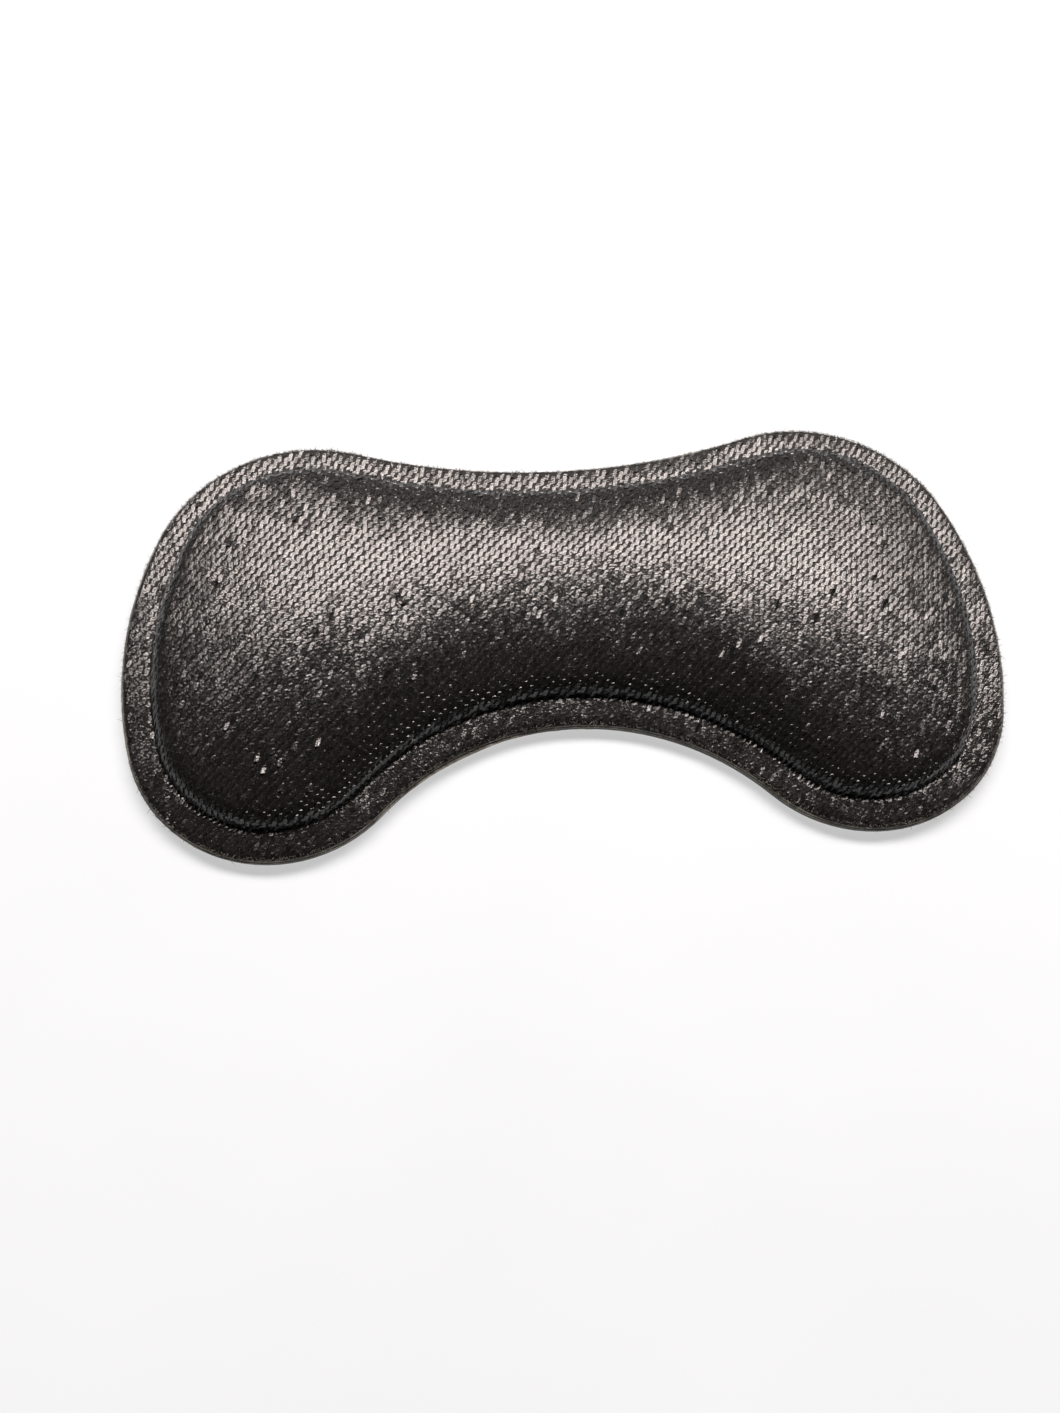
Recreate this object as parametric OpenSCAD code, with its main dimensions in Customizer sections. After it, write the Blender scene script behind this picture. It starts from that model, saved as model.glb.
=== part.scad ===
// Padded two-lobed stick-on patch (heel grip): a knit-covered foam dome inside a flat
// hot-pressed rim, on a base sheet with double-sided tape and a peel-off liner in two halves.
// It lies on its liner. +X runs from lobe to lobe, +Y towards the dipped long edge,
// +Z up through the thickness. The origin is the middle of the bottom face.

/* [Outline] */
// Overall length, from one lobe's end to the other's
pad_length = 98; // [90:1:106]
// Overall depth, from the dipped long edge to the arched long edge
pad_depth = 50; // [47:0.5:54]
// Radius of the lobe ends
end_radius = 42; // [39:1:45]
// Radius of the corners beside the shallow dip
dip_corner_radius = 18.5; // [17:0.5:20]
// Radius of the corners beside the arch
arch_corner_radius = 16; // [15:0.5:18]
// How far the shallow dip goes in
dip_depth = 4.3; // [3:0.1:6]
// How far the arch goes in
arch_height = 13.4; // [11:0.2:14.4]
// Level at which the pad is longest
widest_y = -2.8; // [-4:0.1:-1]

/* [Dome] */
// Width of the flat rim round the dome
rim_width = 3.4; // [2.6:0.1:4.4]
// How far the dome's edge curves inwards as it rises
wall_run = 2.6; // [1.8:0.1:3.4]
// How high the dome's edge rises
wall_height = 2.2; // [1.4:0.1:3]
// Further rise of the dome's crown over the lobes
lobe_rise = 2.7; // [1.5:0.1:3.5]
// Further rise of the dome's crown at the bridge between the lobes
bridge_rise = 1.7; // [0.8:0.1:2.5]
// How far the crown's ridge at the bridge lies from the middle, towards the dip
crest_shift = 2; // [0:0.5:3]

/* [Layers] */
// Thickness of the peel-off paper liner
liner_thickness = 0.12; // [0.08:0.01:0.2]
// Thickness of each adhesive layer of the tape
adhesive_thickness = 0.08; // [0.05:0.01:0.15]
// Thickness of the film between the tape's adhesive layers
carrier_thickness = 0.05; // [0.03:0.01:0.1]
// Thickness of the base sheet
base_thickness = 0.7; // [0.4:0.05:1.2]
// Thickness of each hot-melt web that bonds the foam
web_thickness = 0.08; // [0.05:0.01:0.15]
// Thickness of the foam where the rim is pressed flat
pressed_foam_thickness = 0.33; // [0.2:0.01:0.6]
// Thickness of the knit face fabric
fabric_thickness = 0.45; // [0.3:0.05:0.7]

/* [Trim] */
// How far the liner stays inside the outline
liner_inset = 0.2; // [0.1:0.05:0.4]
// How far the tape stays inside the outline
tape_inset = 0.4; // [0.4:0.05:1]
// Width of the slit between the liner's halves
slit_width = 0.3; // [0.1:0.1:1]

/* [Hidden] */

// Heights of the layers' lower faces, from the bottom up
tape_outer_z = liner_thickness;
carrier_z = tape_outer_z + adhesive_thickness;
tape_inner_z = carrier_z + carrier_thickness;
base_z = tape_inner_z + adhesive_thickness;
base_web_z = base_z + base_thickness;
foam_z = base_web_z + web_thickness;
fabric_web_z = foam_z + pressed_foam_thickness;
cover_thickness = web_thickness + fabric_thickness;

// Arcs of the outline's +X half. Each is tangent to the next.
end_x = pad_length / 2 - end_radius;
dip_corner_y = pad_depth / 2 - dip_corner_radius;
dip_corner_x = end_x + tangent_run(end_radius - dip_corner_radius, dip_corner_y - widest_y);
arch_corner_y = arch_corner_radius - pad_depth / 2;
arch_corner_x = end_x + tangent_run(end_radius - arch_corner_radius, arch_corner_y - widest_y);
dip_radius = hollow_radius(dip_corner_x, dip_corner_radius, dip_depth);
dip_y = pad_depth / 2 - dip_depth + dip_radius;
arch_radius = hollow_radius(arch_corner_x, arch_corner_radius, arch_height);
arch_y = arch_height - pad_depth / 2 - arch_radius;

// Angles at which the arcs meet
dip_end = atan2(dip_corner_y - dip_y, dip_corner_x);
dip_corner_end = atan2(dip_corner_y - widest_y, dip_corner_x - end_x);
end_end = atan2(arch_corner_y - widest_y, arch_corner_x - end_x);
arch_start = atan2(arch_corner_y - arch_y, arch_corner_x);

// Straight steps that each arc is drawn with: dip, corner, lobe end, corner, arch
DIP_STEPS = 5;
DIP_CORNER_STEPS = 10;
END_STEPS = 7;
ARCH_CORNER_STEPS = 13;
ARCH_STEPS = 9;
HALF = DIP_STEPS + DIP_CORNER_STEPS + END_STEPS + ARCH_CORNER_STEPS + ARCH_STEPS;
COUNT = 2 * HALF;

// The dome's edge is part of a quarter ellipse, and its crown runs on to a spine
WALL_ANGLES = [0, 18, 36, 54, 72];
CROWN_STEPS = [0.22, 0.45, 0.68, 0.9];
SPINE_SHARE = 0.58;
LOBE_SHARE = 0.32;
LOBE_X = pad_length * LOBE_SHARE;
bridge_y = (arch_height - dip_depth) / 2 + crest_shift;

// Run along X between the centres of two circles, one touching the other from inside
function tangent_run(distance, rise) = sqrt(pow(distance, 2) - pow(rise, 2));

// Radius of the hollow that is centred on X = 0 and touches a corner circle from outside
function hollow_radius(corner_x, corner_radius, depth) =
    (pow(corner_x, 2) + pow(corner_radius - depth, 2) - pow(corner_radius, 2)) / (2 * depth);

// Points of an arc, without its last one
function arc(centre, radius, from, to, steps) =
    [for (i = [0:steps - 1])
        let (angle = from + (to - from) * i / steps)
        centre + radius * [cos(angle), sin(angle)]];

// The outline's +X half moved inwards, clockwise from above
function half_outline(inset) = concat(
    arc([0, dip_y], dip_radius + inset, -90, dip_end, DIP_STEPS),
    arc([dip_corner_x, dip_corner_y], dip_corner_radius - inset,
        dip_end + 180, dip_corner_end, DIP_CORNER_STEPS),
    arc([end_x, widest_y], end_radius - inset, dip_corner_end, end_end, END_STEPS),
    arc([arch_corner_x, arch_corner_y], arch_corner_radius - inset,
        end_end, arch_start - 180, ARCH_CORNER_STEPS),
    arc([0, arch_y], arch_radius + inset, arch_start, 90, ARCH_STEPS));

// The whole outline moved inwards
function outline(inset) =
    let (right = half_outline(inset))
    concat(right, [[0, arch_y + arch_radius + inset]],
           [for (i = [HALF - 1:-1:1]) [-right[i].x, right[i].y]]);

// The outline as a ring of points at one height
function ring(inset, z) = [for (p = outline(inset)) [p.x, p.y, z]];

// 0 at the bridge, rising smoothly to 1 over the lobes
function lobe_share(x) = (1 - cos(180 * min(1, abs(x) / LOBE_X))) / 2;

// The line that the crown runs in to, from any point of the dome's edge
function spine(x) = [SPINE_SHARE * x, bridge_y * (1 - lobe_share(SPINE_SHARE * x))];

// A ring of the crown: share is 0 at the top of the dome's edge and 1 on the spine
function crown_ring(edge, share) =
    [for (p = edge)
        let (flat = [p.x, p.y] * (1 - share) + spine(p.x) * share,
             rise = bridge_rise + (lobe_rise - bridge_rise) * lobe_share(flat.x))
        [flat.x, flat.y, p.z + rise * sin(90 * share)]];

// Upper face of a layer over the dome, with this much of the cover's thickness above it
function dome_rings(above) =
    let (rim_z = fabric_web_z + cover_thickness - above,
         walls = [for (a = WALL_ANGLES)
             ring(rim_width + above + wall_run * (1 - cos(a)), rim_z + wall_height * sin(a))],
         edge = walls[len(walls) - 1])
    concat([ring(0, rim_z)], walls, [for (share = CROWN_STEPS) crown_ring(edge, share)]);

// Triangles between two rings of points, the first outside or below the second
function band(outer, inner) =
    [for (i = [0:COUNT - 1])
        let (next = (i + 1) % COUNT)
        each [[outer + i, outer + next, inner + next], [outer + i, inner + next, inner + i]]];

// Triangles that close a ring, in a strip from one long side to the other
STRIP = [for (i = [0:HALF / 2 - 1])
    each concat(
        [[i, i + 1, HALF - i], [COUNT - 1 - i, (COUNT - i) % COUNT, HALF + i]],
        i < HALF / 2 - 1
            ? [[i + 1, HALF - 1 - i, HALF - i], [COUNT - 1 - i, HALF + i, HALF + i + 1]]
            : [])];

// The strip for the ring that starts at a point's number
function cap(first) = [for (triangle = STRIP) triangle + [first, first, first]];

// Triangles of a stack of rings that starts at a point's number, closed at its last ring
function sheet_faces(rings, first) = concat(
    [for (i = [0:len(rings) - 2]) each band(first + i * COUNT, first + (i + 1) * COUNT)],
    cap(first + (len(rings) - 1) * COUNT));

// The same triangles facing the other way
function flipped(faces) = [for (f = faces) [f[2], f[1], f[0]]];

// A flat layer that follows the outline
module flat_layer(inset, z, thickness) {
    translate([0, 0, z])
    linear_extrude(thickness)
    polygon(outline(inset));
}

// One half of the liner: side is -1 for the -X half and 1 for the +X half
module liner_half(side) {
    linear_extrude(liner_thickness)
    intersection() {
        polygon(outline(liner_inset));
        translate([side * (slit_width + pad_length) / 2, 0])
        square([pad_length, 2 * pad_depth], center = true);
    }
}

// A layer of even thickness over the dome and the rim
module dome_layer(above, thickness) {
    upper = dome_rings(above);
    lower = dome_rings(above + thickness);
    lower_first = len(upper) * COUNT;
    polyhedron(
        points = [for (r = concat(upper, lower)) each r],
        faces = concat(
            sheet_faces(upper, 0),
            flipped(sheet_faces(lower, lower_first)),
            band(lower_first, 0)));
}

// Peel-off paper under the -X lobe
module liner_left() {
    color("ivory") liner_half(-1);
}

// Peel-off paper under the +X lobe
module liner_right() {
    color("ivory") liner_half(1);
}

// Adhesive that holds the pad in place once the liner is off
module tape_outer_adhesive() {
    color("wheat") flat_layer(tape_inset, tape_outer_z, adhesive_thickness);
}

// Film between the tape's two adhesive layers
module tape_carrier() {
    color("gainsboro") flat_layer(tape_inset, carrier_z, carrier_thickness);
}

// Adhesive that bonds the tape to the base sheet
module tape_inner_adhesive() {
    color("wheat") flat_layer(tape_inset, tape_inner_z, adhesive_thickness);
}

// Smooth dark sheet that the foam is pressed on to
module base_sheet() {
    color("#26241f") flat_layer(0, base_z, base_thickness);
}

// Hot-melt web between the base sheet and the foam
module base_web() {
    color("silver") flat_layer(0, base_web_z, web_thickness);
}

// Foam pad: a dome, and a thin pressed skirt that reaches the rim's edge
module foam_core() {
    upper = dome_rings(cover_thickness);
    floor_first = len(upper) * COUNT;
    color("dimgray")
    polyhedron(
        points = [for (r = concat(upper, [ring(0, foam_z)])) each r],
        faces = concat(
            sheet_faces(upper, 0),
            band(floor_first, 0),
            [[for (i = [COUNT - 1:-1:0]) floor_first + i]]));
}

// Hot-melt web between the foam and the face fabric
module fabric_web() {
    color("silver") dome_layer(fabric_thickness, web_thickness);
}

// Knit face fabric, drawn tight over the dome and pressed flat round the rim
module face_fabric() {
    color("#3a3531") dome_layer(0, fabric_thickness);
}

liner_left();
liner_right();
tape_outer_adhesive();
tape_carrier();
tape_inner_adhesive();
base_sheet();
base_web();
foam_core();
fabric_web();
face_fabric();
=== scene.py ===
"""Looks of a padded stick-on heel grip.

A knit cover is drawn over a foam dome and pressed flat into a rim. Under it are a base sheet, a
double-sided tape and a peel-off liner in two halves. Lengths are in millimetres until a mesh is made.
"""

import math
import random

import bpy
import numpy as np
from mathutils import Matrix, Vector, noise
from mathutils.bvhtree import BVHTree


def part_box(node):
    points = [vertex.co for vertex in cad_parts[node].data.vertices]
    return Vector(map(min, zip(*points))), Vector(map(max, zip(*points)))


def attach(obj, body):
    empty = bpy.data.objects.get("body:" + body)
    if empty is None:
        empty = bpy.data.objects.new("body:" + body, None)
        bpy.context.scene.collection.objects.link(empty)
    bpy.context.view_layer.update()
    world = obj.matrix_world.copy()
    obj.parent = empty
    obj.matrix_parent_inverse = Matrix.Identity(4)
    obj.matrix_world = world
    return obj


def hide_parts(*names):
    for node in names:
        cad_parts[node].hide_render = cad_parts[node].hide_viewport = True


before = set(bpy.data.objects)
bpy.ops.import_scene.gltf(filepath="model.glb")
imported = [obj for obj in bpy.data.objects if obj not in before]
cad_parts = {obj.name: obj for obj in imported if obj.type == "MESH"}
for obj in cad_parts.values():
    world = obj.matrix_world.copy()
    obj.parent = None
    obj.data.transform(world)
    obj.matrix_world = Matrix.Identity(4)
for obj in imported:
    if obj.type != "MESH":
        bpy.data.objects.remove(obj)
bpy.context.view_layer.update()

MM = 0.001


def levels(node):
    """Heights of a CAD node's lowest and highest points"""
    low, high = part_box(node)
    return low.z / MM, high.z / MM


def extent(node):
    """Length and depth of a CAD node"""
    low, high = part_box(node)
    return (high.x - low.x) / MM, (high.y - low.y) / MM


# ---------------------------------------------------------------- sizes

PAD_LENGTH, PAD_DEPTH = extent("base_sheet")
END_RADIUS = 42.0
DIP_CORNER_RADIUS = 18.5
ARCH_CORNER_RADIUS = 16.0
DIP_DEPTH = 4.3
ARCH_HEIGHT = 13.4
WIDEST_Y = -2.8

RIM_WIDTH = 3.4
WALL_RUN = 2.6
WALL_HEIGHT = 2.2
LOBE_RISE = 2.7
BRIDGE_RISE = 1.7
SPINE_SHARE = 0.58
CREST_SHIFT = 2.0
LOBE_X = PAD_LENGTH * 0.32

FABRIC_THICKNESS = 0.45
WEB_THICKNESS = 0.08
PRESSED_FOAM = 0.33
BASE_WEB_LOW, BASE_WEB_HIGH = levels("base_web")
RIM_TOP = BASE_WEB_HIGH + PRESSED_FOAM + WEB_THICKNESS + FABRIC_THICKNESS
LINER_INSET = 0.2
TAPE_INSET = 0.4
SLIT_WIDTH = 0.3

# ---------------------------------------------------------------- outline

# Straight steps of each arc of one half: dip, corner, lobe end, corner, arch
ARC_STEPS = (10, 22, 14, 28, 18)
HALF = sum(ARC_STEPS)
COUNT = 2 * HALF


def tangent_run(distance, rise):
    """Run along X between the centres of two circles, one touching the other from inside"""
    return math.sqrt(distance**2 - rise**2)


def hollow_radius(corner_x, corner_radius, depth):
    """Radius of the hollow centred on X = 0 that touches a corner circle from outside"""
    return (corner_x**2 + (corner_radius - depth) ** 2 - corner_radius**2) / (2 * depth)


def arc(centre, radius, start, stop, steps):
    """Points of an arc, without its last one. Angles are in degrees."""
    angles = np.radians(np.linspace(start, stop, steps, endpoint=False))
    return np.array(centre) + radius * np.column_stack([np.cos(angles), np.sin(angles)])


def outline(inset):
    """The outline moved inwards, clockwise from the middle of the dip"""
    end_x = PAD_LENGTH / 2 - END_RADIUS
    dip_corner_y = PAD_DEPTH / 2 - DIP_CORNER_RADIUS
    dip_corner_x = end_x + tangent_run(END_RADIUS - DIP_CORNER_RADIUS, dip_corner_y - WIDEST_Y)
    arch_corner_y = ARCH_CORNER_RADIUS - PAD_DEPTH / 2
    arch_corner_x = end_x + tangent_run(END_RADIUS - ARCH_CORNER_RADIUS, arch_corner_y - WIDEST_Y)
    dip_radius = hollow_radius(dip_corner_x, DIP_CORNER_RADIUS, DIP_DEPTH)
    dip_y = PAD_DEPTH / 2 - DIP_DEPTH + dip_radius
    arch_radius = hollow_radius(arch_corner_x, ARCH_CORNER_RADIUS, ARCH_HEIGHT)
    arch_y = ARCH_HEIGHT - PAD_DEPTH / 2 - arch_radius

    dip_end = math.degrees(math.atan2(dip_corner_y - dip_y, dip_corner_x))
    corner_end = math.degrees(math.atan2(dip_corner_y - WIDEST_Y, dip_corner_x - end_x))
    lobe_end = math.degrees(math.atan2(arch_corner_y - WIDEST_Y, arch_corner_x - end_x))
    arch_start = math.degrees(math.atan2(arch_corner_y - arch_y, arch_corner_x))

    arcs = (
        ((0, dip_y), dip_radius + inset, -90, dip_end),
        ((dip_corner_x, dip_corner_y), DIP_CORNER_RADIUS - inset, dip_end + 180, corner_end),
        ((end_x, WIDEST_Y), END_RADIUS - inset, corner_end, lobe_end),
        ((arch_corner_x, arch_corner_y), ARCH_CORNER_RADIUS - inset, lobe_end, arch_start - 180),
        ((0, arch_y), arch_radius + inset, arch_start, 90),
    )
    right = np.vstack([arc(*shape, steps) for shape, steps in zip(arcs, ARC_STEPS)])
    middle = [[0, arch_y + arch_radius + inset]]
    left = right[:0:-1] * [-1, 1]
    return np.vstack([right, middle, left])


EDGE = outline(0)
INWARD = outline(1) - EDGE


def flat_ring(inset):
    """The outline moved inwards by one distance, or by one for each of its points"""
    return EDGE + INWARD * np.reshape(inset, (-1, 1))


def ring(inset, z):
    """The moved outline as points at a height, or at one for each point"""
    return np.column_stack([flat_ring(inset), np.broadcast_to(z, COUNT)])


# ---------------------------------------------------------------- dome

# Rim's section: distance in from the cut edge, and height above the rim's mean level. It slopes down
# outwards, and ends in a small lip and the crease that the press leaves at the foot of the dome.
RIM_PROFILE = (
    (0.38, -0.42), (0.46, -0.3), (0.7, -0.23), (1.2, -0.15), (1.8, -0.07), (2.4, 0.01),
    (2.85, 0.07), (3.1, 0.08), (3.3, 0.04), (RIM_WIDTH, 0.0),
)
# Slope of the cut edge, and how far in the rings that follow it lie at most
BEVEL = 0.45
BEVEL_REACH = 1
WALL_ANGLES = np.radians([5, 15, 28, 42, 57, 72])
CROWN_STEPS = (0.06, 0.13, 0.21, 0.3, 0.4, 0.5, 0.6, 0.7, 0.8, 0.88, 0.95)
RIM_RINGS = len(RIM_PROFILE)

# Places where the press left the rim crumpled: X, Y, radius and depth
HOLLOWS = ((6.1, 20.1, 1.3, 0.22), (11.7, 20.8, 1.0, 0.26), (19.2, 22.3, 2.0, 0.24), (-9.5, 20.6, 1.6, 0.1))
WAVE_LENGTH = 5.0
WAVE_DEPTH = 0.07


def lobe_share(x):
    """0 at the bridge, rising smoothly to 1 over the lobes"""
    return (1 - np.cos(np.pi * np.minimum(1, np.abs(x) / LOBE_X))) / 2


def rim_wave(points):
    """How far each point of the rim is pressed down or left standing up"""
    height = np.array([noise.noise((x / WAVE_LENGTH, y / WAVE_LENGTH, 0)) for x, y in points[:, :2]])
    height *= WAVE_DEPTH
    for x, y, radius, depth in HOLLOWS:
        away = np.hypot(points[:, 0] - x, points[:, 1] - y) / radius
        height -= depth * np.exp(-away**2)
    return height


def crown_ring(edge, share):
    """A ring of the crown: share is 0 at the top of the dome's wall and 1 on its spine"""
    bridge_y = (ARCH_HEIGHT - DIP_DEPTH) / 2 + CREST_SHIFT
    spine_x = SPINE_SHARE * edge[:, 0]
    spine = np.column_stack([spine_x, bridge_y * (1 - lobe_share(spine_x))])
    flat = edge[:, :2] * (1 - share) + spine * share
    rise = BRIDGE_RISE + (LOBE_RISE - BRIDGE_RISE) * lobe_share(flat[:, 0])
    return np.column_stack([flat, edge[:, 2] + rise * math.sin(math.pi / 2 * share)])


def dome_rings(depth):
    """Rings of the surface that lies this far under the cover's face, from the rim's edge inwards"""
    rings = []
    # The rim's relief fades with depth, because the base under it stays flat
    relief = 1 - depth
    for inset, lift in RIM_PROFILE:
        cut = BEVEL * depth if inset < BEVEL_REACH else 0
        points = ring(inset - cut, RIM_TOP - depth + lift * relief)
        points[:, 2] += rim_wave(points) * relief
        rings.append(points)
    for angle in WALL_ANGLES:
        inset = RIM_WIDTH + depth + WALL_RUN * (1 - math.cos(angle))
        rings.append(ring(inset, RIM_TOP - depth + WALL_HEIGHT * math.sin(angle)))
    edge = rings[-1]
    rings += [crown_ring(edge, share) for share in CROWN_STEPS]
    return np.array(rings)


# ---------------------------------------------------------------- meshes


# How far in from a slab's edge its ring of flat faces reaches
SLAB_BORDER = 1


def band(outer, inner):
    """Quads between two rings, given by their first points' numbers. They face up, and out at a side."""
    return [(outer + i, inner + i, inner + (i + 1) % COUNT, outer + (i + 1) % COUNT) for i in range(COUNT)]


def cap(first):
    """Upward faces that close a ring, in a strip from one long side to the other"""
    faces = []
    for i in range(HALF // 2):
        faces.append((first + i, first + HALF - i, first + HALF - i - 1, first + i + 1))
        left, across = COUNT - i, HALF + i
        faces.append((first + left % COUNT, first + left - 1, first + across + 1, first + across))
    return [tuple(dict.fromkeys(face)) for face in faces]


def sheet_faces(ring_count, first=0):
    """Faces of a stack of rings, closed at its last one"""
    faces = []
    for i in range(ring_count - 1):
        faces += band(first + i * COUNT, first + (i + 1) * COUNT)
    return faces + cap(first + (ring_count - 1) * COUNT)


def flipped(faces):
    """The same faces, turned over"""
    return [face[::-1] for face in faces]


def make_mesh(name, points, faces, smooth=True):
    """A new object from points in millimetres"""
    mesh = bpy.data.meshes.new(name)
    mesh.from_pydata((np.asarray(points) * MM).tolist(), [], faces)
    mesh.polygons.foreach_set("use_smooth", [smooth] * len(faces))
    mesh.update()
    piece = bpy.data.objects.new(name, mesh)
    bpy.context.scene.collection.objects.link(piece)
    return piece


def settle(piece):
    """Applies a piece's modifiers"""
    graph = bpy.context.evaluated_depsgraph_get()
    mesh = bpy.data.meshes.new_from_object(piece.evaluated_get(graph))
    piece.modifiers.clear()
    piece.data = mesh
    return piece


def subdivide(piece):
    """Applies one level of subdivision"""
    modifier = piece.modifiers.new("Subdivision", "SUBSURF")
    modifier.levels = 1
    modifier.render_levels = 1
    return settle(piece)


def shell(name, upper, lower):
    """A closed layer between two stacks of rings"""
    count = len(upper) * COUNT
    faces = sheet_faces(len(upper)) + flipped(sheet_faces(len(lower), count)) + band(count, 0)
    return make_mesh(name, np.vstack([upper.reshape(-1, 3), lower.reshape(-1, 3)]), faces)


def slab(name, inset, low, high, rounding):
    """A closed flat layer with slightly rounded edges"""
    border = inset + SLAB_BORDER
    upper = [(inset, high - rounding), (inset + rounding, high), (border, high)]
    lower = [(inset, low + rounding), (inset + rounding, low), (border, low)]
    rings = [np.array([ring(d, z) for d, z in section]) for section in (upper, lower)]
    return shell(name, *rings)


# ---------------------------------------------------------------- cloth simulation

# The simulated copy is this many times as large as the pad
SIM_SCALE = 10
SIM_FRAMES = 20
SIM_PRESSURE = 4
# Most that a point may rise, and how often the rise is averaged with its neighbours'
MOST_SWELL = 0.3
EASE_PASSES = 6


def swell(rings):
    """Air pressure fills the dome like tight fabric over foam. Returns how far its points rise."""
    points = rings.reshape(-1, 3)
    piece = make_mesh("swelling", points * SIM_SCALE, sheet_faces(len(rings)))
    pinned = piece.vertex_groups.new(name="pinned")
    pinned.add(list(range((RIM_RINGS + 1) * COUNT)), 1.0, "REPLACE")
    cloth = piece.modifiers.new("Cloth", "CLOTH")
    settings = cloth.settings
    settings.quality = 5
    settings.use_pressure = True
    settings.uniform_pressure_force = SIM_PRESSURE
    settings.vertex_group_mass = "pinned"
    settings.effector_weights.gravity = 0
    cloth.point_cache.frame_start = 1
    cloth.point_cache.frame_end = SIM_FRAMES
    for number in range(1, SIM_FRAMES + 1):
        bpy.context.scene.frame_set(number)
    settle(piece)
    moved = np.array([v.co for v in piece.data.vertices]) / (MM * SIM_SCALE)
    bpy.context.scene.frame_set(1)
    bpy.data.objects.remove(piece)
    rise = np.clip((moved - points)[:, 2], 0, MOST_SWELL).reshape(rings.shape[:2])
    for _ in range(EASE_PASSES):
        rise = (np.roll(rise, 1, axis=1) + 2 * rise + np.roll(rise, -1, axis=1)) / 4
        rise[RIM_RINGS + 1:-1] = (rise[RIM_RINGS:-2] + 2 * rise[RIM_RINGS + 1:-1] + rise[RIM_RINGS + 2:]) / 4
    return rise


# ---------------------------------------------------------------- knit

# Loops lie where two waves across the cloth both have whole values: X, Y, XY and YY terms of each,
# in waves per mm. The X and Y terms set the loops' pitch, and the others fan the columns out.
LOOP_WAVES = ((0.677, 0.947, -0.003, -0.0047), (0.975, -1.019, -0.0033, 0.0057))
WAVE_REACH = 90
SOLVER_STEPS = 12
# Half sizes of the cloth that loops are looked for on, as shares of the pad's length and depth
GRID_SHARES = (0.6, 0.7)
# Share of the wall's extra length that comes from cloth drawn in, and not from stretch
TAKE_UP = 0.7
WALL_POINTS = 20
LOOP_WIDTH = 0.6
LOOP_HALF_LENGTH = 0.57
# Heights of a loop on the dome and on the pressed rim, and how far above the rim it is free again
LOOP_HEIGHT = 0.09
PRESSED_HEIGHT = 0.06
PRESS_FADE = 1.6
LOOP_ROOT = -0.03
# A loop's sideways lean along its column, and the share of it that its tips have
LOOP_LEAN = 0.55
TIP_LEAN = 0.52
# Slopes that loops tilt by, across and along their columns, and the share that is loose
LOOP_TILT = 0.04
LOOSE_TILT = 0.15
LOOSE_SHARE = 0.04
# Spreads of the loops' places, leans and heights, the least height as a share of the usual one,
# and the least lift of a top as a share of its height
PLACE_SPREAD = 0.035
LEAN_SPREAD = 0.13
HEIGHT_SPREAD = 0.2
LEAST_HEIGHT = 0.5
LEAST_LIFT = 0.2
# A loop's section, over its flattened top: share of its half width, and of its height
LOOP_SECTION = ((-1.0, -0.5), (-0.82, 0.94), (0.0, 1.0), (0.82, 0.94), (1.0, -0.5))
# Its sections: place along the loop, and shares of its full width and height
LOOP_STATIONS = ((-0.45, 0.85, 0.92), (0.2, 1.0, 1.0), (0.45, 0.8, 0.85))


def cloth_rings():
    """Where each ring's points were on the flat cloth, before it was drawn over the dome"""
    def extra(angle):
        """Cloth that the wall takes up above this angle, beyond its run"""
        angles = np.linspace(angle, WALL_ANGLES[-1], WALL_POINTS)
        arc_points = np.column_stack([-WALL_RUN * np.cos(angles), WALL_HEIGHT * np.sin(angles)])
        steps = np.diff(arc_points, axis=0)
        return TAKE_UP * (np.hypot(*steps.T).sum() - steps[:, 0].sum())

    rings = [ring(inset - extra(0.0), 0) for inset, _ in RIM_PROFILE]
    for angle in WALL_ANGLES:
        rings.append(ring(RIM_WIDTH + WALL_RUN * (1 - math.cos(angle)) - extra(angle), 0))
    edge = rings[-1]
    for share in CROWN_STEPS:
        rings.append(crown_ring(edge, share) * [1, 1, 0])
    return np.array(rings)


def loop_grid():
    """Centres of the loops on the flat cloth, and the vectors across and along their columns"""
    (ax, ay, axy, ayy), (bx, by, bxy, byy) = LOOP_WAVES
    counts = range(-WAVE_REACH, WAVE_REACH)
    m, n = (g.ravel().astype(float) for g in np.meshgrid(counts, counts))
    linear = np.linalg.inv([[ax, ay], [bx, by]])
    x, y = linear @ [m, n]
    near = (np.abs(x) < PAD_LENGTH * GRID_SHARES[0]) & (np.abs(y) < PAD_DEPTH * GRID_SHARES[1])
    x, y, m, n = x[near], y[near], m[near], n[near]
    for _ in range(SOLVER_STEPS):
        ja, jb = ax + axy * y, ay + axy * x + 2 * ayy * y
        jc, jd = bx + bxy * y, by + bxy * x + 2 * byy * y
        off_a = ax * x + ay * y + axy * x * y + ayy * y * y - m
        off_b = bx * x + by * y + bxy * x * y + byy * y * y - n
        det = ja * jd - jb * jc
        x = x - (jd * off_a - jb * off_b) / det
        y = y - (ja * off_b - jc * off_a) / det
    across = np.column_stack([(jd - jb), (ja - jc)]) / det[:, None] / 2
    along = np.column_stack([(jd + jb), (-jc - ja)]) / det[:, None]
    return np.column_stack([x, y]), across, along


def normals_of(mesh):
    """A mesh's vertex normals"""
    found = np.zeros(len(mesh.vertices) * 3)
    mesh.vertices.foreach_get("normal", found)
    return found.reshape(-1, 3)


def points_of(mesh):
    """A mesh's vertices"""
    found = np.zeros(len(mesh.vertices) * 3)
    mesh.vertices.foreach_get("co", found)
    return found.reshape(-1, 3)


def grain_faces(first, sections, width, last):
    """Faces of a closed grain: a first point, sections of some points each, and a last point"""
    faces = []
    top = last - width
    for k in range(width):
        j = (k + 1) % width
        faces.append((first, first + 1 + j, first + 1 + k))
        for r in range(sections - 1):
            low, high = first + 1 + r * width, first + 1 + (r + 1) * width
            faces.append((low + k, low + j, high + j, high + k))
        faces.append((last, top + k, top + j))
    return faces


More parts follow.
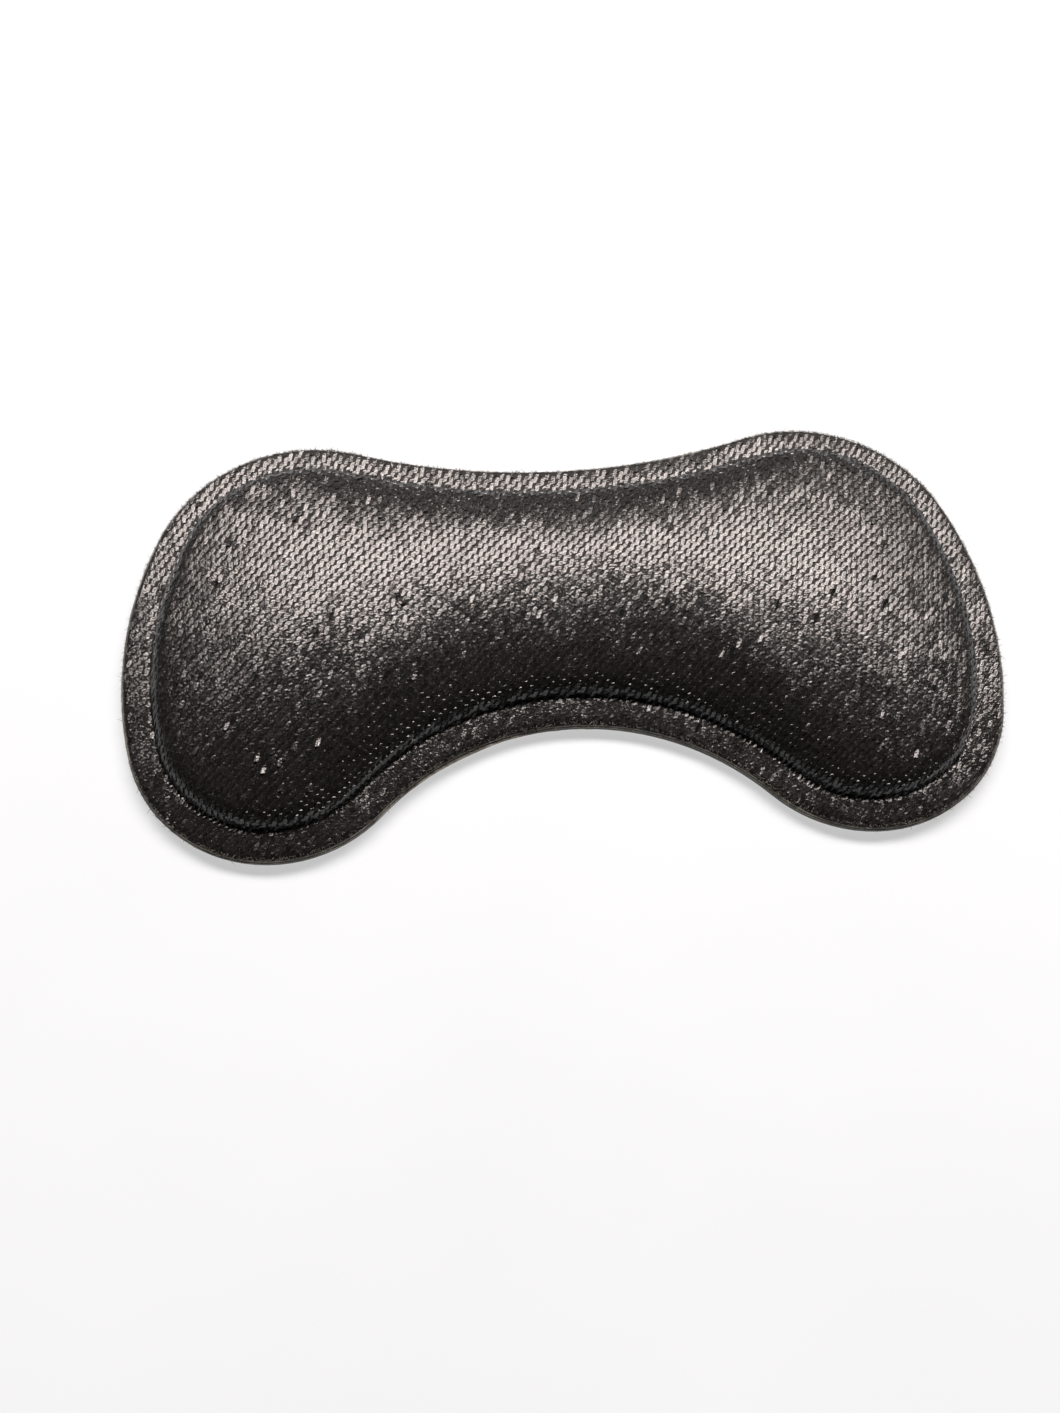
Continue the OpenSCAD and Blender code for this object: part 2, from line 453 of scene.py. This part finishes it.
def knit_loops(name, face, cloth):
    """The knit's loops as small closed grains of yarn

    face is the cover's face, and cloth is the same mesh laid flat.
    """
    face.data.calc_loop_triangles()
    triangles = [tuple(t.vertices) for t in face.data.loop_triangles]
    place, up, flat = points_of(face.data) / MM, normals_of(face.data), points_of(cloth.data) / MM
    tree = BVHTree.FromPolygons(flat.tolist(), triangles)
    above, down = Vector((0, 0, 1)), Vector((0, 0, -1))
    rng = random.Random(11)
    points, faces = [], []

    def on_face(x, y, height):
        """The point this far above the face, at a place on the flat cloth"""
        spot = Vector((x, y, 0))
        hit, _, index, _ = tree.ray_cast(spot + above, down)
        if hit is None:
            hit, _, index, _ = tree.find_nearest(spot)
        corners = list(triangles[index])
        a, b, c = flat[corners][:, :2]
        sides = np.array([b - a, c - a]).T
        u, v = np.linalg.solve(sides, np.array([hit.x, hit.y]) - a)
        weights = np.array([1 - u - v, u, v])
        normal = weights @ up[corners]
        return weights @ place[corners] + normal / np.linalg.norm(normal) * height

    for centre, across, along in zip(*loop_grid()):
        jitter = [rng.gauss(0, PLACE_SPREAD) for _ in range(2)]
        lean, tall = rng.gauss(LOOP_LEAN, LEAN_SPREAD), rng.gauss(1, HEIGHT_SPREAD)
        spread = LOOSE_TILT if rng.random() < LOOSE_SHARE else LOOP_TILT
        roll, pitch = rng.gauss(0, spread) * LOOP_WIDTH / 2, rng.gauss(0, spread) * np.linalg.norm(along)
        hit = tree.ray_cast(Vector((*centre, 1)), down)[0]
        if hit is None:
            continue
        free = min(1, max(0, (on_face(*centre, 0)[2] - RIM_TOP) / PRESS_FADE))
        height = PRESSED_HEIGHT + (LOOP_HEIGHT - PRESSED_HEIGHT) * free
        height *= max(LEAST_HEIGHT, tall)
        centre = centre + jitter
        half = LOOP_WIDTH / 2 / np.linalg.norm(across)
        first = len(points)
        tips = [centre + s * (along * LOOP_HALF_LENGTH + across * lean * TIP_LEAN) for s in (-1, 1)]
        points.append(on_face(*tips[0], LOOP_ROOT))
        for s, wide, high in LOOP_STATIONS:
            middle = centre + along * s + across * lean * s
            for side, rise in LOOP_SECTION:
                lift = height * rise * high
                if rise > 0:
                    lift = max(height * LEAST_LIFT, lift + roll * side + pitch * s)
                points.append(on_face(*(middle + across * side * half * wide), lift))
        points.append(on_face(*tips[1], LOOP_ROOT))
        faces += grain_faces(first, len(LOOP_STATIONS), len(LOOP_SECTION), len(points) - 1)
    # Flat shaded, so that the steep sides don't turn the tops' normals
    return make_mesh(name, points, faces, smooth=False)


# ---------------------------------------------------------------- cut edge

FIBRE_COUNT = 4200
FIBRE_SIDES = 3
FIBRE_STATIONS = 4
# How far under the rim's mean top the highest fibre starts
FIBRE_CLEARANCE = 0.1
# How deep a fibre is rooted, its least and most length and radius, and how thin its tip is
FIBRE_ROOT = 0.06
FIBRE_LENGTH = (0.12, 0.34)
FIBRE_RADIUS = (0.018, 0.04)
TIP_SHARE = 0.4
# A few stray fibres are longer by this factor
STRAY_SHARE = 0.05
STRAY_FACTOR = 2.2
# Mean upward slope, and the spreads of the slopes sideways and up and of the curl sideways and up
FIBRE_CLIMB = 0.1
SLANT_SPREAD = 1.1
CLIMB_SPREAD = 0.35
CURL_SPREADS = (0.25, 0.2)


def edge_fibres(name, low, high):
    """Yarn ends that stick out of the cut edge between two heights"""
    rng = random.Random(23)
    points, faces = [], []
    for _ in range(FIBRE_COUNT):
        where = rng.uniform(0, COUNT)
        i, part = int(where) % COUNT, where % 1
        j = (i + 1) % COUNT
        root = EDGE[i] * (1 - part) + EDGE[j] * part
        outward = -(INWARD[i] * (1 - part) + INWARD[j] * part)
        side = np.array([-outward[1], outward[0]])
        climb = rng.random()
        inward = FIBRE_ROOT + BEVEL * climb
        start = np.array([*(root - outward * inward), low + (high - low) * climb])
        length = rng.uniform(*FIBRE_LENGTH) * (STRAY_FACTOR if rng.random() < STRAY_SHARE else 1)
        slant, lift = rng.gauss(0, SLANT_SPREAD), rng.gauss(FIBRE_CLIMB, CLIMB_SPREAD)
        heading = np.array([*(outward + side * slant), lift])
        heading /= np.linalg.norm(heading)
        sideways, upwards = (rng.gauss(0, spread) for spread in CURL_SPREADS)
        curl = np.array([*(side * sideways), upwards])
        radius = rng.uniform(*FIBRE_RADIUS)
        first = len(points)
        across = np.cross(heading, [0, 0, 1.0])
        across /= np.linalg.norm(across)
        over = np.cross(heading, across)
        for s in range(FIBRE_STATIONS):
            t = s / (FIBRE_STATIONS - 1)
            centre = start + heading * length * t + curl * length * t * t
            thin = radius * (1 - (1 - TIP_SHARE) * t)
            for k in range(FIBRE_SIDES):
                angle = 2 * math.pi * k / FIBRE_SIDES
                points.append(centre + thin * (across * math.cos(angle) + over * math.sin(angle)))
        for s in range(FIBRE_STATIONS - 1):
            for k in range(FIBRE_SIDES):
                a, b = first + s * FIBRE_SIDES, first + (s + 1) * FIBRE_SIDES
                j = (k + 1) % FIBRE_SIDES
                faces.append((a + k, a + j, b + j, b + k))
        end = first + (FIBRE_STATIONS - 1) * FIBRE_SIDES
        faces.append(tuple(first + k for k in reversed(range(FIBRE_SIDES))))
        faces.append(tuple(end + k for k in range(FIBRE_SIDES)))
    return make_mesh(name, points, faces)


# ---------------------------------------------------------------- liner

LINER_CORNER = 1.5
CORNER_POINTS = 6


def liner_half(name, side):
    """One half of the liner: side is -1 for the -X half and 1 for the +X half"""
    low, high = levels(name)
    cut = SLIT_WIDTH / 2
    kept = [p for p in flat_ring(LINER_INSET)[:HALF] if p[0] > cut + LINER_CORNER]
    turn = np.radians(np.linspace(0, 90, CORNER_POINTS))
    beside = cut + LINER_CORNER * (1 - np.sin(turn))
    rounding = LINER_CORNER * (1 - np.cos(turn))
    bottom = np.column_stack([beside, kept[-1][1] + rounding])
    top = np.column_stack([beside, kept[0][1] - rounding])[::-1]
    loop = np.vstack([kept, bottom, top]) * [side, 1]
    if side < 0:
        loop = loop[::-1]
    count = len(loop)
    points = np.vstack([np.column_stack([loop, np.full(count, z)]) for z in (low, high)])
    faces = [tuple(range(count)), tuple(range(count, 2 * count))[::-1]]
    faces += [(i, count + i, count + (i + 1) % count, (i + 1) % count) for i in range(count)]
    return make_mesh(name + "_paper", points, faces, smooth=False)


# ---------------------------------------------------------------- materials


class Look:
    """A procedural material on one Principled shader"""

    def __init__(self, name, **sockets):
        self.material = bpy.data.materials.new(name)
        self.material.use_nodes = True
        self.tree = self.material.node_tree
        self.shader = self.tree.nodes["Principled BSDF"]
        for socket, value in sockets.items():
            self.shader.inputs[socket.replace("_", " ")].default_value = value

    def node(self, kind, **sockets):
        """A new node with some of its inputs set"""
        made = self.tree.nodes.new(kind)
        for socket, value in sockets.items():
            made.inputs[socket.replace("_", " ")].default_value = value
        return made

    def noise(self, grain, detail=3.0):
        """Noise whose features are about this many millimetres across"""
        made = self.node("ShaderNodeTexNoise", Scale=1 / (grain * MM), Detail=detail)
        where = self.tree.nodes.new("ShaderNodeTexCoord")
        self.tree.links.new(where.outputs["Object"], made.inputs["Vector"])
        return made.outputs["Fac"]

    def colour(self, value, *stops):
        """Base colour that runs through stops of (position, colour)"""
        ramp = self.tree.nodes.new("ShaderNodeValToRGB")
        elements = ramp.color_ramp.elements
        while len(elements) < len(stops):
            elements.new(0.5)
        for element, (position, tone) in zip(elements, stops):
            element.position = position
            element.color = (*tone, 1)
        self.tree.links.new(value, ramp.inputs["Fac"])
        self.tree.links.new(ramp.outputs["Color"], self.shader.inputs["Base Color"])
        return self

    def roughness(self, value, low, high):
        """Roughness that follows a value from low to high"""
        span = self.node("ShaderNodeMapRange", To_Min=low, To_Max=high)
        self.tree.links.new(value, span.inputs["Value"])
        self.tree.links.new(span.outputs["Result"], self.shader.inputs["Roughness"])
        return self

    def bump(self, value, depth):
        """Relief of this many millimetres"""
        made = self.node("ShaderNodeBump", Strength=1.0, Distance=depth * MM)
        self.tree.links.new(value, made.inputs["Height"])
        self.tree.links.new(made.outputs["Normal"], self.shader.inputs["Normal"])
        return self


def grey(level, warmth):
    """A grey, redder than neutral by a share, or bluer when that is negative"""
    return (level * (1 + warmth), level, level * (1 - warmth))


def ground_look():
    """Black yarn between the loops, its colour a little darker than the loops' yarn as painted shade in the
    gaps
    """
    look = Look("knit_ground", Specular_IOR_Level=0.25)
    # Painted shade: the black here is darker than the loops' yarn so that the gaps between loops read as
    # shaded
    look.colour(look.noise(0.5), (0.3, grey(0.002, 0.1)), (0.7, grey(0.005, 0.1)))
    look.roughness(look.noise(0.3), 0.5, 0.7)
    return look.bump(look.noise(0.25), 0.03)


def yarn_look():
    """Lustrous filament yarn"""
    look = Look("knit_yarn", Specular_IOR_Level=0.9)
    tones = (0.3, grey(0.003, 0.1)), (0.5, grey(0.006, 0.08)), (0.72, grey(0.012, 0.06))
    look.colour(look.noise(0.55, 1.0), *tones)
    look.roughness(look.noise(0.9), 0.15, 0.28)
    return look.bump(look.noise(0.22, 2.0), 0.06)


def fibre_look():
    """Cut ends of yarn, some of them pale"""
    look = Look("cut_yarn_ends", Specular_IOR_Level=0.5)
    tones = (0.35, grey(0.05, 0.1)), (0.6, (0.17, 0.16, 0.13)), (0.75, (0.42, 0.4, 0.36))
    look.colour(look.noise(0.9), *tones)
    look.roughness(look.noise(0.5), 0.35, 0.55)
    return look


def foam_look():
    """Foam pressed dense"""
    look = Look("pressed_foam", Specular_IOR_Level=0.3)
    look.colour(look.noise(0.35), (0.3, (0.045, 0.042, 0.03)), (0.7, (0.12, 0.112, 0.085)))
    look.roughness(look.noise(0.4), 0.7, 0.9)
    return look.bump(look.noise(0.15), 0.08)


def web_look():
    """Fused hot-melt web, patchy and fairly glossy"""
    look = Look("hot_melt_web", Specular_IOR_Level=0.7)
    look.colour(look.noise(2.5), (0.35, (0.12, 0.115, 0.1)), (0.65, (0.5, 0.48, 0.44)))
    look.roughness(look.noise(1.5), 0.15, 0.35)
    return look.bump(look.noise(0.8), 0.03)


def base_look():
    """Smooth dark sheet"""
    look = Look("base_sheet_rubber", Specular_IOR_Level=0.45)
    look.colour(look.noise(3.0), (0.35, (0.012, 0.0115, 0.009)), (0.7, (0.03, 0.028, 0.021)))
    look.roughness(look.noise(1.2), 0.35, 0.55)
    return look.bump(look.noise(0.3), 0.015)


def adhesive_look():
    """Yellowish tacky glue"""
    look = Look("tape_glue", Specular_IOR_Level=0.6)
    look.colour(look.noise(2.0), (0.3, (0.36, 0.31, 0.22)), (0.7, (0.52, 0.46, 0.34)))
    look.roughness(look.noise(1.0), 0.12, 0.3)
    return look.bump(look.noise(0.6), 0.01)


def carrier_look():
    """Thin pale film"""
    look = Look("tape_film", Specular_IOR_Level=0.6)
    look.colour(look.noise(4.0), (0.3, (0.62, 0.62, 0.6)), (0.7, (0.76, 0.76, 0.74)))
    look.roughness(look.noise(2.0), 0.12, 0.22)
    return look.bump(look.noise(1.5), 0.004)


def liner_look():
    """Silicone-coated paper: smooth, faintly cloudy, with fine fibres"""
    look = Look("release_paper", Specular_IOR_Level=0.5, Coat_Weight=0.25, Coat_Roughness=0.2)
    tones = (0.3, (0.7, 0.65, 0.52)), (0.5, (0.78, 0.74, 0.62)), (0.72, (0.84, 0.81, 0.71))
    look.colour(look.noise(1.4, 6.0), *tones)
    look.roughness(look.noise(0.7), 0.35, 0.5)
    return look.bump(look.noise(0.2, 5.0), 0.006)


# ---------------------------------------------------------------- pieces


def place(piece, body, slot, look, *nodes):
    """Gives a piece its body and material, and hides the CAD nodes that it stands for. Its slot is not used.
    """
    piece.data.materials.append(look.material)
    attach(piece, body)
    if nodes:
        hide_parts(*nodes)


def camera():
    """The photograph's viewing angle"""
    azimuth, elevation, roll = math.radians(-8.2), math.radians(68.6), math.radians(4.8)
    distance = 142.3 * MM
    target = Vector((-4.45, -8.44, 0)) * MM
    back = Vector((
        math.sin(azimuth) * math.cos(elevation),
        -math.cos(azimuth) * math.cos(elevation),
        math.sin(elevation),
    ))
    level = Vector((0, 0, 1)).cross(back).normalized()
    upright = back.cross(level)
    right = level * math.cos(roll) + upright * math.sin(roll)
    over = upright * math.cos(roll) - level * math.sin(roll)
    data = bpy.data.cameras.new("camera")
    data.lens = 32.8
    data.sensor_width = 36
    data.clip_start = 0.01
    eye = bpy.data.objects.new("camera", data)
    turn = Matrix((right, over, back)).transposed().to_4x4()
    eye.matrix_world = Matrix.Translation(target + back * distance) @ turn
    bpy.context.scene.collection.objects.link(eye)
    bpy.context.scene.camera = eye


def softbox(name, azimuth, elevation, distance, size, brightness, tint):
    """A rectangular light that faces the pad, in metres

    Azimuth 0 is over +Y, and 90 over +X. Its power is pi times its brightness and area.
    """
    a, e = math.radians(azimuth), math.radians(elevation)
    toward = Vector((math.sin(a) * math.cos(e), math.cos(a) * math.cos(e), math.sin(e)))
    data = bpy.data.lights.new(name, "AREA")
    data.shape = "RECTANGLE"
    data.size, data.size_y = size
    data.energy = brightness * math.pi * size[0] * size[1]
    data.color = tint
    lamp = bpy.data.objects.new(name, data)
    lamp.location = toward * distance
    lamp.rotation_mode = "QUATERNION"
    lamp.rotation_quaternion = toward.to_track_quat("Z", "Y")
    bpy.context.scene.collection.objects.link(lamp)


# Brightness of the surround: how strongly it lights the pad, and how it looks behind the floor
SURROUND_LIGHT = 0.03
SURROUND_SEEN = 0.55
# Half the floor's width, and how far it lies below the liner
FLOOR_REACH = 1500
FLOOR_DROP = 0.05
FLOOR_GLOW = 0.52


def surround():
    """Lights the pad dimly, but looks as pale as the far floor"""
    world = bpy.data.worlds.new("surround")
    world.use_nodes = True
    tree = world.node_tree
    background = tree.nodes["Background"]
    background.inputs["Color"].default_value = (1, 0.98, 0.96, 1)
    seen = tree.nodes.new("ShaderNodeLightPath")
    strength = tree.nodes.new("ShaderNodeMapRange")
    strength.inputs["To Min"].default_value = SURROUND_LIGHT
    strength.inputs["To Max"].default_value = SURROUND_SEEN
    tree.links.new(seen.outputs["Is Camera Ray"], strength.inputs["Value"])
    tree.links.new(strength.outputs["Result"], background.inputs["Strength"])
    bpy.context.scene.world = world


def floor_look():
    """Pale and faintly glowing from above, and clear from below, so that it doesn't hide the liner"""
    look = Look("floor", Specular_IOR_Level=0.1)
    look.colour(look.noise(40.0), (0.3, grey(0.36, -0.07)), (0.7, grey(0.38, -0.07)))
    look.shader.inputs["Roughness"].default_value = 0.9
    look.shader.inputs["Emission Color"].default_value = (1, 1, 1, 1)
    look.shader.inputs["Emission Strength"].default_value = FLOOR_GLOW
    facing = look.node("ShaderNodeNewGeometry")
    clear = look.node("ShaderNodeBsdfTransparent")
    either = look.node("ShaderNodeMixShader")
    look.tree.links.new(facing.outputs["Backfacing"], either.inputs["Fac"])
    look.tree.links.new(look.shader.outputs["BSDF"], either.inputs[1])
    look.tree.links.new(clear.outputs["BSDF"], either.inputs[2])
    output = look.tree.nodes["Material Output"]
    look.tree.links.new(either.outputs["Shader"], output.inputs["Surface"])
    return look


def studio():
    """Plain pale floor, a soft key light from behind the pad and a dim surround"""
    bpy.context.scene.view_settings.view_transform = "Standard"
    surround()
    softbox("key", azimuth=8.2, elevation=51.5, distance=0.5, size=(0.78, 0.13),
            brightness=20, tint=(1.0, 0.9, 0.855))
    corners = [(x * FLOOR_REACH, y * FLOOR_REACH, -FLOOR_DROP)
               for x, y in ((-1, -1), (1, -1), (1, 1), (-1, 1))]
    floor = make_mesh("floor", corners, [(0, 1, 2, 3)], smooth=False)
    floor.data.materials.append(floor_look().material)


def knit_cover():
    """Face fabric with its loops. Returns the cover and the dome's swelling."""
    face = dome_rings(0)
    under = dome_rings(FABRIC_THICKNESS)
    rise = swell(face)
    face[:, :, 2] += rise
    under[:, :, 2] += rise
    cover = subdivide(shell("knit_cover", face, under))
    open_face = subdivide(make_mesh("open_face", face.reshape(-1, 3), sheet_faces(len(face))))
    laid = cloth_rings()
    cloth = subdivide(make_mesh("flat_cloth", laid.reshape(-1, 3), sheet_faces(len(laid))))
    loops = knit_loops("knit_loops", open_face, cloth)
    bpy.data.objects.remove(open_face)
    bpy.data.objects.remove(cloth)
    place(cover, "pad", "knit_fabric", ground_look(), "face_fabric")
    place(loops, "pad", "knit_fabric", yarn_look())
    return cover, rise


# Insets of the rings of the foam's underside
FOAM_FLOOR_INSETS = (0.06, 0.5, 1.5)
# Where the lower web's film sticks out past the arched edge: place along X, spread and reach
FILM_SHOWS_AT = -12
FILM_SPREAD = 6.5
FILM_REACH = 0.26
# Length and depth of the ripples in the film's edge
RIPPLE_LENGTH = 3
RIPPLE_DEPTH = 0.05
# How far the base sheet's edge lies inside the cut edge
BASE_INSET = 0.05


def dome_layers(rise):
    """The web under the cover, and the foam. Returns the foam."""
    web_top, foam_top = dome_rings(FABRIC_THICKNESS), dome_rings(FABRIC_THICKNESS + WEB_THICKNESS)
    web_top[:, :, 2] += rise
    foam_top[:, :, 2] += rise
    web = shell("fabric_web_film", web_top, foam_top)
    place(web, "pad", "melt_web", web_look(), "fabric_web")
    foam_floor = np.array([ring(inset, BASE_WEB_HIGH) for inset in FOAM_FLOOR_INSETS])
    foam = shell("foam_pad", foam_top, foam_floor)
    place(foam, "pad", "foam", foam_look(), "foam_core")
    return foam


def flat_layers():
    """Everything under the foam, from the web down to the tape"""
    away = (EDGE[:, 0] - FILM_SHOWS_AT) / FILM_SPREAD
    bulge = FILM_REACH * np.exp(-away**2) * (EDGE[:, 1] < 0)
    ripple = np.array([noise.noise((x / RIPPLE_LENGTH, y / RIPPLE_LENGTH, 5)) for x, y in EDGE])
    ripple *= RIPPLE_DEPTH
    film = slab("base_web_film", ripple - bulge, BASE_WEB_LOW, BASE_WEB_HIGH, rounding=0.02)
    place(film, "pad", "melt_web", web_look(), "base_web")
    low, high = levels("base_sheet")
    moulding = slab("base_sheet_moulding", BASE_INSET, low, high, rounding=0.1)
    place(moulding, "pad", "base_sheet", base_look(), "base_sheet")
    for node, slot, look in (
        ("tape_inner_adhesive", "tape_adhesive", adhesive_look()),
        ("tape_carrier", "tape_film", carrier_look()),
        ("tape_outer_adhesive", "tape_adhesive", adhesive_look()),
    ):
        low, high = levels(node)
        layer = slab(node + "_layer", TAPE_INSET, low, high, rounding=0.01)
        place(layer, "pad", slot, look, node)


camera()
cover, rise = knit_cover()
foam = dome_layers(rise)
flat_layers()
fibres = edge_fibres("cut_edge_fibres", BASE_WEB_HIGH, RIM_TOP - FIBRE_CLEARANCE)
place(fibres, "pad", "knit_fabric", fibre_look())
for side, body in ((-1, "liner_left"), (1, "liner_right")):
    place(liner_half(body, side), body, "liner_paper", liner_look(), body)
studio()
